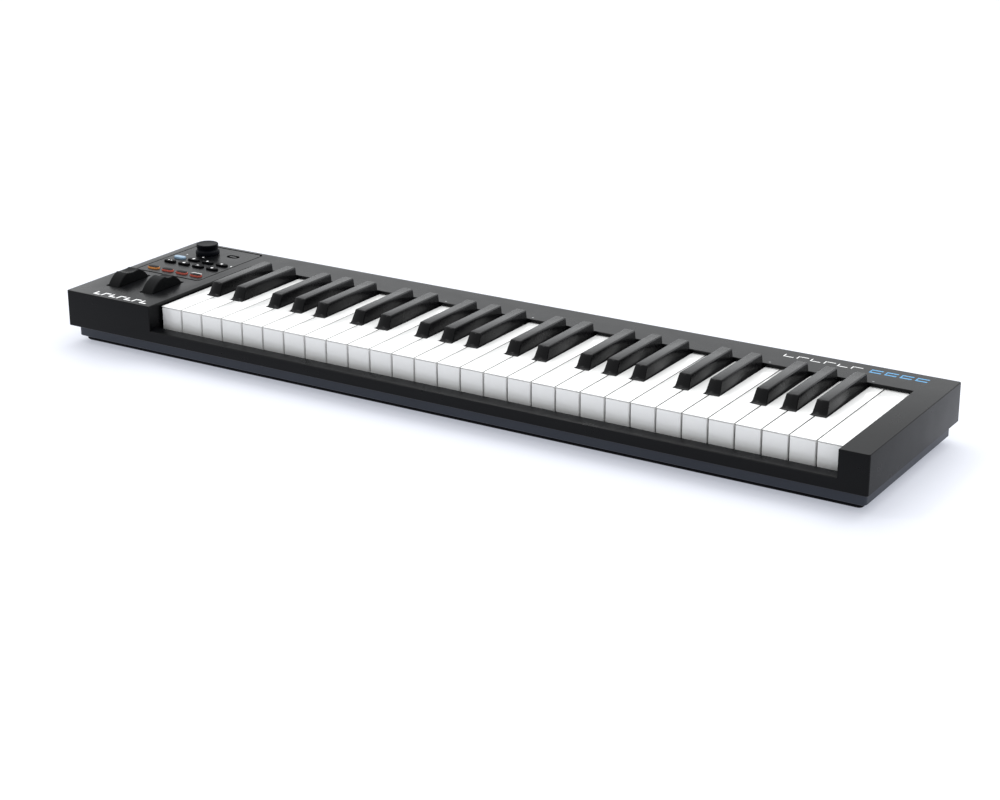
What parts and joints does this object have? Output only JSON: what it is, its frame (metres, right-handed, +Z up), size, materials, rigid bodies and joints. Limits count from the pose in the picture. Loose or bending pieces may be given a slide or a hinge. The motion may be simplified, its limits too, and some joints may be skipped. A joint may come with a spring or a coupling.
{
  "type": "midi keyboard",
  "caption": "Slim MIDI keyboard controller with full-size piano keys, pitch and modulation wheels, a rotary knob and pill-shaped buttons in the left cheek.",
  "frame": {"origin": "centre of the footprint, on the surface that the feet stand on", "axes": "+X to the player's right along the keys, +Y to the back edge, +Z up"},
  "size_m": [0.811, 0.194, 0.0638],
  "materials": {
    "case_black": "semi-gloss moulded black, fine grain",
    "tray_grey": "satin dark bluish grey",
    "key_white": "gloss white",
    "key_black": "satin black",
    "wheel_black": "soft-touch black",
    "knob_black": "satin bluish black",
    "keypad_rubber": "matte silicone",
    "frame_grey": "moulded grey",
    "circuit_board": "green solder mask"
  },
  "bodies": {
    "base": {"top_case": "case_black", "bottom_tray": "tray_grey", "key_frame": "frame_grey", "key_circuit_board": "circuit_board", "control_board": "circuit_board"},
    "pitch_wheel": {"pitch_wheel": "wheel_black"},
    "mod_wheel": {"mod_wheel": "wheel_black"},
    "control_knob": {"control_knob": "knob_black"},
    "front_keypad": {"front_keypad": "keypad_rubber"},
    "middle_keypad": {"middle_keypad": "keypad_rubber"},
    "back_keypad": {"back_keypad": "keypad_rubber"},
    "white_key_01": {"white_key_01": "key_white"},
    "white_key_02": {"white_key_02": "key_white"},
    "white_key_03": {"white_key_03": "key_white"},
    "white_key_04": {"white_key_04": "key_white"},
    "white_key_05": {"white_key_05": "key_white"},
    "white_key_06": {"white_key_06": "key_white"},
    "white_key_07": {"white_key_07": "key_white"},
    "white_key_08": {"white_key_08": "key_white"},
    "white_key_09": {"white_key_09": "key_white"},
    "white_key_10": {"white_key_10": "key_white"},
    "white_key_11": {"white_key_11": "key_white"},
    "white_key_12": {"white_key_12": "key_white"},
    "white_key_13": {"white_key_13": "key_white"},
    "white_key_14": {"white_key_14": "key_white"},
    "white_key_15": {"white_key_15": "key_white"},
    "white_key_16": {"white_key_16": "key_white"},
    "white_key_17": {"white_key_17": "key_white"},
    "white_key_18": {"white_key_18": "key_white"},
    "white_key_19": {"white_key_19": "key_white"},
    "white_key_20": {"white_key_20": "key_white"},
    "white_key_21": {"white_key_21": "key_white"},
    "white_key_22": {"white_key_22": "key_white"},
    "white_key_23": {"white_key_23": "key_white"},
    "white_key_24": {"white_key_24": "key_white"},
    "white_key_25": {"white_key_25": "key_white"},
    "white_key_26": {"white_key_26": "key_white"},
    "white_key_27": {"white_key_27": "key_white"},
    "white_key_28": {"white_key_28": "key_white"},
    "white_key_29": {"white_key_29": "key_white"},
    "black_key_01": {"black_key_01": "key_black"},
    "black_key_02": {"black_key_02": "key_black"},
    "black_key_03": {"black_key_03": "key_black"},
    "black_key_04": {"black_key_04": "key_black"},
    "black_key_05": {"black_key_05": "key_black"},
    "black_key_06": {"black_key_06": "key_black"},
    "black_key_07": {"black_key_07": "key_black"},
    "black_key_08": {"black_key_08": "key_black"},
    "black_key_09": {"black_key_09": "key_black"},
    "black_key_10": {"black_key_10": "key_black"},
    "black_key_11": {"black_key_11": "key_black"},
    "black_key_12": {"black_key_12": "key_black"},
    "black_key_13": {"black_key_13": "key_black"},
    "black_key_14": {"black_key_14": "key_black"},
    "black_key_15": {"black_key_15": "key_black"},
    "black_key_16": {"black_key_16": "key_black"},
    "black_key_17": {"black_key_17": "key_black"},
    "black_key_18": {"black_key_18": "key_black"},
    "black_key_19": {"black_key_19": "key_black"},
    "black_key_20": {"black_key_20": "key_black"}
  },
  "joints": [
    {"name": "pitch_wheel_turn", "type": "hinge", "parent": "base", "child": "pitch_wheel", "pos_m": [-0.376, -0.0428, 0.039], "axis": [1, 0, 0], "range_deg": [-40, 40], "stiffness_Nm_per_rad": 0.05},
    {"name": "mod_wheel_turn", "type": "hinge", "parent": "base", "child": "mod_wheel", "pos_m": [-0.3348, -0.0428, 0.039], "axis": [1, 0, 0], "range_deg": [-20, 40]},
    {"name": "control_knob_turn", "type": "hinge", "parent": "base", "child": "control_knob", "pos_m": [-0.3693, 0.068, 0.0525], "axis": [0, 0, 1], "range_deg": [-140, 140]},
    {"name": "front_keypad_press", "type": "slide", "parent": "base", "child": "front_keypad", "axis": [0, 0, -1], "range_m": [0, 0.001], "stiffness_N_per_m": 400, "springref_m": -0.0015},
    {"name": "middle_keypad_press", "type": "slide", "parent": "base", "child": "middle_keypad", "axis": [0, 0, -1], "range_m": [0, 0.001], "stiffness_N_per_m": 400, "springref_m": -0.0015},
    {"name": "back_keypad_press", "type": "slide", "parent": "base", "child": "back_keypad", "axis": [0, 0, -1], "range_m": [0, 0.001], "stiffness_N_per_m": 400, "springref_m": -0.0015},
    {"name": "white_key_01_press", "type": "hinge", "parent": "base", "child": "white_key_01", "pos_m": [0, 0.077, 0.036], "axis": [1, 0, 0], "range_deg": [0, 3.7], "stiffness_Nm_per_rad": 0.3, "springref_deg": -14.32},
    {"name": "white_key_02_press", "type": "hinge", "parent": "base", "child": "white_key_02", "pos_m": [0, 0.077, 0.036], "axis": [1, 0, 0], "range_deg": [0, 3.7], "stiffness_Nm_per_rad": 0.3, "springref_deg": -14.32},
    {"name": "white_key_03_press", "type": "hinge", "parent": "base", "child": "white_key_03", "pos_m": [0, 0.077, 0.036], "axis": [1, 0, 0], "range_deg": [0, 3.7], "stiffness_Nm_per_rad": 0.3, "springref_deg": -14.32},
    {"name": "white_key_04_press", "type": "hinge", "parent": "base", "child": "white_key_04", "pos_m": [0, 0.077, 0.036], "axis": [1, 0, 0], "range_deg": [0, 3.7], "stiffness_Nm_per_rad": 0.3, "springref_deg": -14.32},
    {"name": "white_key_05_press", "type": "hinge", "parent": "base", "child": "white_key_05", "pos_m": [0, 0.077, 0.036], "axis": [1, 0, 0], "range_deg": [0, 3.7], "stiffness_Nm_per_rad": 0.3, "springref_deg": -14.32},
    {"name": "white_key_06_press", "type": "hinge", "parent": "base", "child": "white_key_06", "pos_m": [0, 0.077, 0.036], "axis": [1, 0, 0], "range_deg": [0, 3.7], "stiffness_Nm_per_rad": 0.3, "springref_deg": -14.32},
    {"name": "white_key_07_press", "type": "hinge", "parent": "base", "child": "white_key_07", "pos_m": [0, 0.077, 0.036], "axis": [1, 0, 0], "range_deg": [0, 3.7], "stiffness_Nm_per_rad": 0.3, "springref_deg": -14.32},
    {"name": "white_key_08_press", "type": "hinge", "parent": "base", "child": "white_key_08", "pos_m": [0, 0.077, 0.036], "axis": [1, 0, 0], "range_deg": [0, 3.7], "stiffness_Nm_per_rad": 0.3, "springref_deg": -14.32},
    {"name": "white_key_09_press", "type": "hinge", "parent": "base", "child": "white_key_09", "pos_m": [0, 0.077, 0.036], "axis": [1, 0, 0], "range_deg": [0, 3.7], "stiffness_Nm_per_rad": 0.3, "springref_deg": -14.32},
    {"name": "white_key_10_press", "type": "hinge", "parent": "base", "child": "white_key_10", "pos_m": [0, 0.077, 0.036], "axis": [1, 0, 0], "range_deg": [0, 3.7], "stiffness_Nm_per_rad": 0.3, "springref_deg": -14.32},
    {"name": "white_key_11_press", "type": "hinge", "parent": "base", "child": "white_key_11", "pos_m": [0, 0.077, 0.036], "axis": [1, 0, 0], "range_deg": [0, 3.7], "stiffness_Nm_per_rad": 0.3, "springref_deg": -14.32},
    {"name": "white_key_12_press", "type": "hinge", "parent": "base", "child": "white_key_12", "pos_m": [0, 0.077, 0.036], "axis": [1, 0, 0], "range_deg": [0, 3.7], "stiffness_Nm_per_rad": 0.3, "springref_deg": -14.32},
    {"name": "white_key_13_press", "type": "hinge", "parent": "base", "child": "white_key_13", "pos_m": [0, 0.077, 0.036], "axis": [1, 0, 0], "range_deg": [0, 3.7], "stiffness_Nm_per_rad": 0.3, "springref_deg": -14.32},
    {"name": "white_key_14_press", "type": "hinge", "parent": "base", "child": "white_key_14", "pos_m": [0, 0.077, 0.036], "axis": [1, 0, 0], "range_deg": [0, 3.7], "stiffness_Nm_per_rad": 0.3, "springref_deg": -14.32},
    {"name": "white_key_15_press", "type": "hinge", "parent": "base", "child": "white_key_15", "pos_m": [0, 0.077, 0.036], "axis": [1, 0, 0], "range_deg": [0, 3.7], "stiffness_Nm_per_rad": 0.3, "springref_deg": -14.32},
    {"name": "white_key_16_press", "type": "hinge", "parent": "base", "child": "white_key_16", "pos_m": [0, 0.077, 0.036], "axis": [1, 0, 0], "range_deg": [0, 3.7], "stiffness_Nm_per_rad": 0.3, "springref_deg": -14.32},
    {"name": "white_key_17_press", "type": "hinge", "parent": "base", "child": "white_key_17", "pos_m": [0, 0.077, 0.036], "axis": [1, 0, 0], "range_deg": [0, 3.7], "stiffness_Nm_per_rad": 0.3, "springref_deg": -14.32},
    {"name": "white_key_18_press", "type": "hinge", "parent": "base", "child": "white_key_18", "pos_m": [0, 0.077, 0.036], "axis": [1, 0, 0], "range_deg": [0, 3.7], "stiffness_Nm_per_rad": 0.3, "springref_deg": -14.32},
    {"name": "white_key_19_press", "type": "hinge", "parent": "base", "child": "white_key_19", "pos_m": [0, 0.077, 0.036], "axis": [1, 0, 0], "range_deg": [0, 3.7], "stiffness_Nm_per_rad": 0.3, "springref_deg": -14.32},
    {"name": "white_key_20_press", "type": "hinge", "parent": "base", "child": "white_key_20", "pos_m": [0, 0.077, 0.036], "axis": [1, 0, 0], "range_deg": [0, 3.7], "stiffness_Nm_per_rad": 0.3, "springref_deg": -14.32},
    {"name": "white_key_21_press", "type": "hinge", "parent": "base", "child": "white_key_21", "pos_m": [0, 0.077, 0.036], "axis": [1, 0, 0], "range_deg": [0, 3.7], "stiffness_Nm_per_rad": 0.3, "springref_deg": -14.32},
    {"name": "white_key_22_press", "type": "hinge", "parent": "base", "child": "white_key_22", "pos_m": [0, 0.077, 0.036], "axis": [1, 0, 0], "range_deg": [0, 3.7], "stiffness_Nm_per_rad": 0.3, "springref_deg": -14.32},
    {"name": "white_key_23_press", "type": "hinge", "parent": "base", "child": "white_key_23", "pos_m": [0, 0.077, 0.036], "axis": [1, 0, 0], "range_deg": [0, 3.7], "stiffness_Nm_per_rad": 0.3, "springref_deg": -14.32},
    {"name": "white_key_24_press", "type": "hinge", "parent": "base", "child": "white_key_24", "pos_m": [0, 0.077, 0.036], "axis": [1, 0, 0], "range_deg": [0, 3.7], "stiffness_Nm_per_rad": 0.3, "springref_deg": -14.32},
    {"name": "white_key_25_press", "type": "hinge", "parent": "base", "child": "white_key_25", "pos_m": [0, 0.077, 0.036], "axis": [1, 0, 0], "range_deg": [0, 3.7], "stiffness_Nm_per_rad": 0.3, "springref_deg": -14.32},
    {"name": "white_key_26_press", "type": "hinge", "parent": "base", "child": "white_key_26", "pos_m": [0, 0.077, 0.036], "axis": [1, 0, 0], "range_deg": [0, 3.7], "stiffness_Nm_per_rad": 0.3, "springref_deg": -14.32},
    {"name": "white_key_27_press", "type": "hinge", "parent": "base", "child": "white_key_27", "pos_m": [0, 0.077, 0.036], "axis": [1, 0, 0], "range_deg": [0, 3.7], "stiffness_Nm_per_rad": 0.3, "springref_deg": -14.32},
    {"name": "white_key_28_press", "type": "hinge", "parent": "base", "child": "white_key_28", "pos_m": [0, 0.077, 0.036], "axis": [1, 0, 0], "range_deg": [0, 3.7], "stiffness_Nm_per_rad": 0.3, "springref_deg": -14.32},
    {"name": "white_key_29_press", "type": "hinge", "parent": "base", "child": "white_key_29", "pos_m": [0, 0.077, 0.036], "axis": [1, 0, 0], "range_deg": [0, 3.7], "stiffness_Nm_per_rad": 0.3, "springref_deg": -14.32},
    {"name": "black_key_01_press", "type": "hinge", "parent": "base", "child": "black_key_01", "pos_m": [0, 0.077, 0.036], "axis": [1, 0, 0], "range_deg": [0, 4.2], "stiffness_Nm_per_rad": 0.3, "springref_deg": -14.32},
    {"name": "black_key_02_press", "type": "hinge", "parent": "base", "child": "black_key_02", "pos_m": [0, 0.077, 0.036], "axis": [1, 0, 0], "range_deg": [0, 4.2], "stiffness_Nm_per_rad": 0.3, "springref_deg": -14.32},
    {"name": "black_key_03_press", "type": "hinge", "parent": "base", "child": "black_key_03", "pos_m": [0, 0.077, 0.036], "axis": [1, 0, 0], "range_deg": [0, 4.2], "stiffness_Nm_per_rad": 0.3, "springref_deg": -14.32},
    {"name": "black_key_04_press", "type": "hinge", "parent": "base", "child": "black_key_04", "pos_m": [0, 0.077, 0.036], "axis": [1, 0, 0], "range_deg": [0, 4.2], "stiffness_Nm_per_rad": 0.3, "springref_deg": -14.32},
    {"name": "black_key_05_press", "type": "hinge", "parent": "base", "child": "black_key_05", "pos_m": [0, 0.077, 0.036], "axis": [1, 0, 0], "range_deg": [0, 4.2], "stiffness_Nm_per_rad": 0.3, "springref_deg": -14.32},
    {"name": "black_key_06_press", "type": "hinge", "parent": "base", "child": "black_key_06", "pos_m": [0, 0.077, 0.036], "axis": [1, 0, 0], "range_deg": [0, 4.2], "stiffness_Nm_per_rad": 0.3, "springref_deg": -14.32},
    {"name": "black_key_07_press", "type": "hinge", "parent": "base", "child": "black_key_07", "pos_m": [0, 0.077, 0.036], "axis": [1, 0, 0], "range_deg": [0, 4.2], "stiffness_Nm_per_rad": 0.3, "springref_deg": -14.32},
    {"name": "black_key_08_press", "type": "hinge", "parent": "base", "child": "black_key_08", "pos_m": [0, 0.077, 0.036], "axis": [1, 0, 0], "range_deg": [0, 4.2], "stiffness_Nm_per_rad": 0.3, "springref_deg": -14.32},
    {"name": "black_key_09_press", "type": "hinge", "parent": "base", "child": "black_key_09", "pos_m": [0, 0.077, 0.036], "axis": [1, 0, 0], "range_deg": [0, 4.2], "stiffness_Nm_per_rad": 0.3, "springref_deg": -14.32},
    {"name": "black_key_10_press", "type": "hinge", "parent": "base", "child": "black_key_10", "pos_m": [0, 0.077, 0.036], "axis": [1, 0, 0], "range_deg": [0, 4.2], "stiffness_Nm_per_rad": 0.3, "springref_deg": -14.32},
    {"name": "black_key_11_press", "type": "hinge", "parent": "base", "child": "black_key_11", "pos_m": [0, 0.077, 0.036], "axis": [1, 0, 0], "range_deg": [0, 4.2], "stiffness_Nm_per_rad": 0.3, "springref_deg": -14.32},
    {"name": "black_key_12_press", "type": "hinge", "parent": "base", "child": "black_key_12", "pos_m": [0, 0.077, 0.036], "axis": [1, 0, 0], "range_deg": [0, 4.2], "stiffness_Nm_per_rad": 0.3, "springref_deg": -14.32},
    {"name": "black_key_13_press", "type": "hinge", "parent": "base", "child": "black_key_13", "pos_m": [0, 0.077, 0.036], "axis": [1, 0, 0], "range_deg": [0, 4.2], "stiffness_Nm_per_rad": 0.3, "springref_deg": -14.32},
    {"name": "black_key_14_press", "type": "hinge", "parent": "base", "child": "black_key_14", "pos_m": [0, 0.077, 0.036], "axis": [1, 0, 0], "range_deg": [0, 4.2], "stiffness_Nm_per_rad": 0.3, "springref_deg": -14.32},
    {"name": "black_key_15_press", "type": "hinge", "parent": "base", "child": "black_key_15", "pos_m": [0, 0.077, 0.036], "axis": [1, 0, 0], "range_deg": [0, 4.2], "stiffness_Nm_per_rad": 0.3, "springref_deg": -14.32},
    {"name": "black_key_16_press", "type": "hinge", "parent": "base", "child": "black_key_16", "pos_m": [0, 0.077, 0.036], "axis": [1, 0, 0], "range_deg": [0, 4.2], "stiffness_Nm_per_rad": 0.3, "springref_deg": -14.32},
    {"name": "black_key_17_press", "type": "hinge", "parent": "base", "child": "black_key_17", "pos_m": [0, 0.077, 0.036], "axis": [1, 0, 0], "range_deg": [0, 4.2], "stiffness_Nm_per_rad": 0.3, "springref_deg": -14.32},
    {"name": "black_key_18_press", "type": "hinge", "parent": "base", "child": "black_key_18", "pos_m": [0, 0.077, 0.036], "axis": [1, 0, 0], "range_deg": [0, 4.2], "stiffness_Nm_per_rad": 0.3, "springref_deg": -14.32},
    {"name": "black_key_19_press", "type": "hinge", "parent": "base", "child": "black_key_19", "pos_m": [0, 0.077, 0.036], "axis": [1, 0, 0], "range_deg": [0, 4.2], "stiffness_Nm_per_rad": 0.3, "springref_deg": -14.32},
    {"name": "black_key_20_press", "type": "hinge", "parent": "base", "child": "black_key_20", "pos_m": [0, 0.077, 0.036], "axis": [1, 0, 0], "range_deg": [0, 4.2], "stiffness_Nm_per_rad": 0.3, "springref_deg": -14.32}
  ]
}
